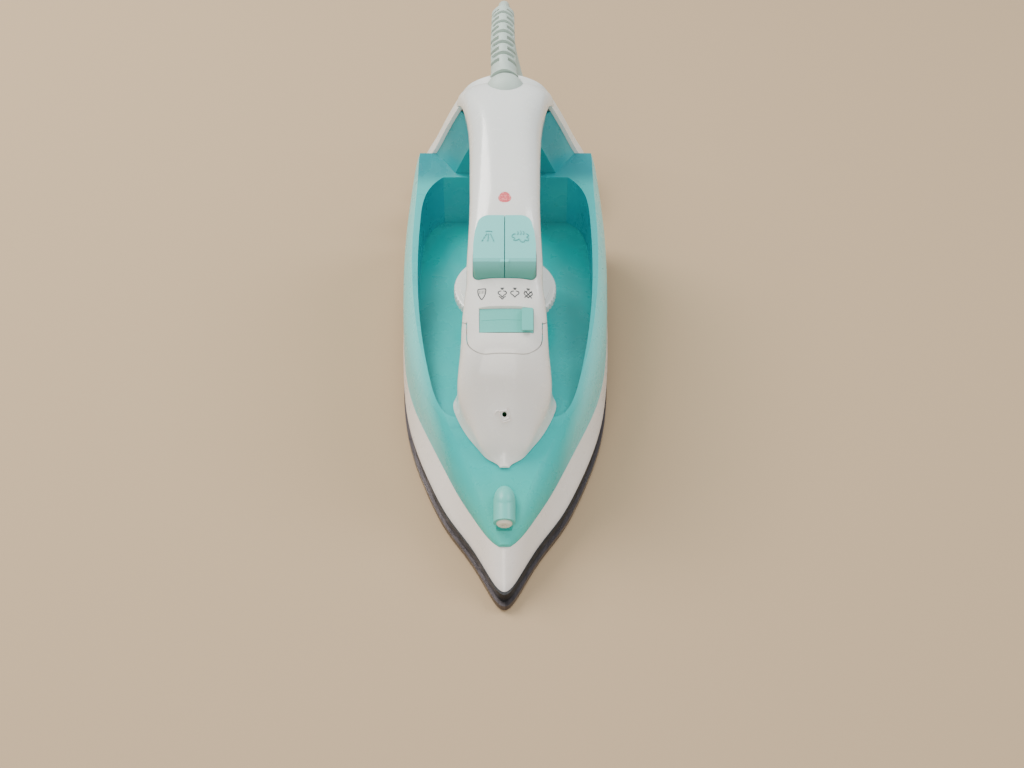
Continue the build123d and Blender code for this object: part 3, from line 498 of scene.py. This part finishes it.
def panel_marks():
    """Printed steam settings between the keys and the slider."""
    patch = Patch(skin_of("handle_top"), (0.45, -22.7, 106), (0, -0.35, 0.94))
    strokes = moved(SHIELD_MARK, -12) + moved(STEAM_MARK + MORE_STEAM, -1.6) + moved(STEAM_MARK, 4.8)
    strokes += moved(STEAM_MARK + CROSS, 11.6)
    ribbons("panel_marks", patch, strokes, 0.62, 0.06, "body", "ink")
    ribbons("panel_marks_fine", patch, moved(SHIELD_FILL, -12), 0.3, 0.05, "body", "ink")


def key_marks():
    """Embossed spray and steam symbols on the keys."""
    for side, name, strokes in ((-1, "spray", spray_rays()), (1, "steam", PUFF_MARK)):
        patch = Patch(skin_of(name + "_button"), (side * 8.1, 2.4, 122.5), (0, -0.25, 0.97))
        ribbons(name + "_mark", patch, strokes, 0.6, 0.28, name + "_key", "relief")


def nose_marks():
    """Embossed water jug round the lid's vent."""
    patch = Patch(skin_of("filler_cover"), (0.2, -67.9, 64.0), (0, -0.83, 0.56))
    ribbons("jug_mark", patch, JUG_MARK, 0.75, 0.6, "lid", "skirt")


def slit_lip():
    """Flexible strip that closes the tray's slit around the slider's stem."""
    tray = skin_of("slider_tray")
    patch = Patch(tray, (1, -35.3, 99.5), (0, -math.sin(PANEL_TILT), math.cos(PANEL_TILT)))
    rows, left, length, half, depth = 25, -12.9, 25.8, 2.2, 0.12
    verts = []
    for k in range(rows):
        u = left + k * length / (rows - 1)
        edges = [patch.land(u, v, -depth) for v in (-half, half)]
        verts += [edges[0].lerp(edges[1], share) for share in (-0.02, 0.3, 0.7, 1.02)]
    new_piece("slit_lip", verts, grid_faces(rows, 4), "body", "tray")


def nozzle_root():
    """Rounded back of the spray nozzle's barrel, over the end of its hose."""
    rows, columns = 17, 32
    girth, reach, centre_y, centre_z = 5.45, 8.2, -101.5, 37.3
    verts = []
    for i in range(rows):
        turn = math.pi * (i + 0.02) / (rows - 0.96)
        radius = girth * math.sin(turn)
        for j in range(columns):
            a = 2 * math.pi * j / columns
            y = centre_y - reach * math.cos(turn)
            verts.append((radius * math.cos(a), y, centre_z + radius * math.sin(a)))
    faces = grid_faces(rows, columns, closed=True)
    faces += [tuple(range(columns))[::-1], tuple(range((rows - 1) * columns, rows * columns))]
    new_piece("nozzle_root", verts, faces, "body", "tray")


def return_springs():
    """Springs under the keys, each a copy of its CAD spring with a mesh of its own."""
    for side in ("spray", "steam"):
        node = NODES[side + "_spring"]
        piece = bpy.data.objects.new(side + "_return_spring", node.data.copy())
        bpy.context.scene.collection.objects.link(piece)
        place(piece, "body", "steel")
        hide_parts(side + "_spring")
        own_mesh(piece)


# ---- Cord guard
def spline_frames(points, count):
    """Evenly spaced centres and directions along the smooth spline of a route, in millimetres."""
    curve = cord_curve("route", points, 0)
    curve.data.splines[0].resolution_u = 24
    mesh = bpy.data.meshes.new_from_object(curve)
    line = [v.co / MM for v in mesh.vertices]
    bpy.data.objects.remove(curve)
    bpy.data.meshes.remove(mesh)
    lengths = [0.0]
    for a, b in zip(line, line[1:]):
        lengths.append(lengths[-1] + (b - a).length)
    frames = []
    i = 0
    for k in range(count):
        s = lengths[-1] * k / (count - 1)
        while i < len(lengths) - 2 and lengths[i + 1] < s:
            i += 1
        t = (s - lengths[i]) / max(1e-9, lengths[i + 1] - lengths[i])
        frames.append((line[i].lerp(line[i + 1], t), (line[i + 1] - line[i]).normalized(), s))
    return frames


def sleeve():
    """Tapered cord guard with slots cut by turns through its top and bottom and its two sides."""
    pitch, slot_width, core = 8.7, 2.3, 4.4
    first_slots = (12.4, 8.0)  # through top and bottom, through the sides
    plain_start, plain_end, bridge = 6, 3, 0.42
    root, taper, collar, collar_length = 7.1, 0.8, 0.9, 3.5
    columns = 72
    verts = []
    frames = spline_frames(SLEEVE_POINTS, 150)
    total = frames[-1][2]
    for centre, run, s in frames:
        side = Vector((1, 0, 0))
        up = run.cross(side).normalized() * -1
        radius = root - taper * s / total
        radius += collar * max(0.0, 1 - s / collar_length)
        upper, lateral = ((s - first) % pitch < slot_width for first in first_slots)
        in_slot = (upper or lateral) and plain_start < s < total - plain_end
        for j in range(columns):
            a = 2 * math.pi * j / columns
            flat = abs(math.sin(a)) if upper else abs(math.cos(a))
            r = core if in_slot and flat > bridge else radius
            r *= 1 + 0.04 * math.cos(4 * a)
            verts.append(centre + (side * math.cos(a) + up * math.sin(a)) * r)
    faces = grid_faces(len(frames), columns, closed=True)
    faces.append(tuple(range(columns))[::-1])
    faces.append(tuple(range((len(frames) - 1) * columns, len(frames) * columns)))
    piece = new_piece("cord_guard", verts, faces, "body", "cord")
    split = piece.modifiers.new("edges", "EDGE_SPLIT")
    split.split_angle = math.radians(40)
    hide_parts("strain_relief")
    return piece


# ---- Cord
CORD_D = 6.5
SLEEVE_POINTS = [(-0.6, 126.9, 134.0), (-1.3, 145, 138.2), (-1.5, 163.4, 141.4), (-1.4, 182, 141.6)]
CORD_POINTS = [(-1.4, 182, 141.6), (-1.2, 200.3, 136.6), (-0.6, 216.8, 125), (0.6, 229, 108),
               (2.4, 235.5, 87.5), (6.5, 236, 66.3), (13, 228.5, 47), (19.5, 213.5, 33.5), (24, 198, 24)]
TAIL_POINTS = [(42.9, 204, 24), (40, 184, 24.6), (30.5, 169, 25.6), (16.5, 164, 26.5), (0, 164, 26.5)]
COIL_Y = 194.0
LAYER_Z = [4.4, 10.9, 17.4]


def coil_points():
    """Turns of the coil, clockwise from above: down the inside, three layers, and up over the edge."""
    pitch = 6.55
    legs = [  # turns, radius at the end, height at the end
        (0.5, 26.6, LAYER_Z[0]), (2.6, 26.6 + 2.6 * pitch, LAYER_Z[0]), (0.25, 43.6, LAYER_Z[1]),
        (1.66, 32.8, LAYER_Z[1]), (0.25, 32.8, LAYER_Z[2]), (1.42, 42.4, LAYER_Z[2]), (0.18, 42.6, 23.4)]
    angle, radius, height = 0.0, 25.0, 21.5
    points = []
    for turns, end_radius, end_height in legs:
        steps = max(2, round(turns * 14))
        for k in range(1, steps + 1):
            share = k / steps
            a = angle - 2 * math.pi * turns * share
            r = radius + (end_radius - radius) * share
            z = height + (end_height - height) * share
            points.append((r * math.cos(a), COIL_Y + r * math.sin(a), z))
        angle -= 2 * math.pi * turns
        radius, height = end_radius, end_height
    return points


def cord_curve(name, points, diameter):
    """Round cord along a smooth spline through a list of control points in millimetres."""
    data = bpy.data.curves.new(name, "CURVE")
    data.dimensions = "3D"
    spline = data.splines.new("NURBS")
    spline.points.add(len(points) - 1)
    for target, (x, y, z) in zip(spline.points, points):
        target.co = (x * MM, y * MM, z * MM, 1)
    spline.order_u = 3
    spline.use_endpoint_u = True
    spline.resolution_u = 6
    data.bevel_depth = diameter / 2 * MM
    data.bevel_resolution = 4
    data.use_fill_caps = True
    curve = bpy.data.objects.new(name, data)
    bpy.context.scene.collection.objects.link(curve)
    return curve


def mains_cord():
    """The whole cord: out of the sleeve, down behind the iron, through the coil and into the plug."""
    points = CORD_POINTS + coil_points() + TAIL_POINTS
    cord = cord_curve("mains_cord", points, CORD_D)
    place(cord, "body", "cord")
    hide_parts("power_cord", "cord_coil", "cord_tail")


# ---- Stage
def add_stage():
    """Pale floor, big soft lights and a dim surrounding."""
    mesh = bpy.data.meshes.new("floor")
    mesh.from_pydata([(-3, -3, 0), (3, -3, 0), (3, 3, 0), (-3, 3, 0)], [], [(0, 1, 2, 3)])
    floor = bpy.data.objects.new("floor", mesh)
    bpy.context.scene.collection.objects.link(floor)
    cloth = Finish("floor_cloth", srgb(176, 152, 120), 0.9)
    cloth.bump(cloth.noise(700, 3), 0.0002, 0.25)
    mesh.materials.append(cloth.mat)
    world = bpy.data.worlds.new("surrounding")
    bpy.context.scene.world = world
    world.use_nodes = True
    world.node_tree.nodes["Background"].inputs[0].default_value = (0.95, 0.97, 1.0, 1)
    world.node_tree.nodes["Background"].inputs[1].default_value = 0.72
    for name, spot, size, power, color in [("key", (-0.7, 0.55, 1.1), 0.7, 24, (1.0, 0.97, 0.93)),
                                           ("window", (0.95, 0.35, 1.15), 0.6, 10, (0.93, 0.97, 1.0)),
                                           ("fill", (-0.2, -1.1, 0.9), 0.8, 9, (1.0, 0.96, 0.9))]:
        light = bpy.data.lights.new(name, "AREA")
        light.size = size
        light.energy = power
        light.color = color
        lamp = bpy.data.objects.new(name, light)
        bpy.context.scene.collection.objects.link(lamp)
        lamp.location = spot
        lamp.rotation_euler = (Vector((0, 0, 0.05)) - Vector(spot)).to_track_quat("-Z", "Y").to_euler()


add_camera()
finish_nodes()
mains_cord()
sleeve()
panel_marks()
key_marks()
nose_marks()
slit_lip()
return_springs()
nozzle_root()
add_stage()
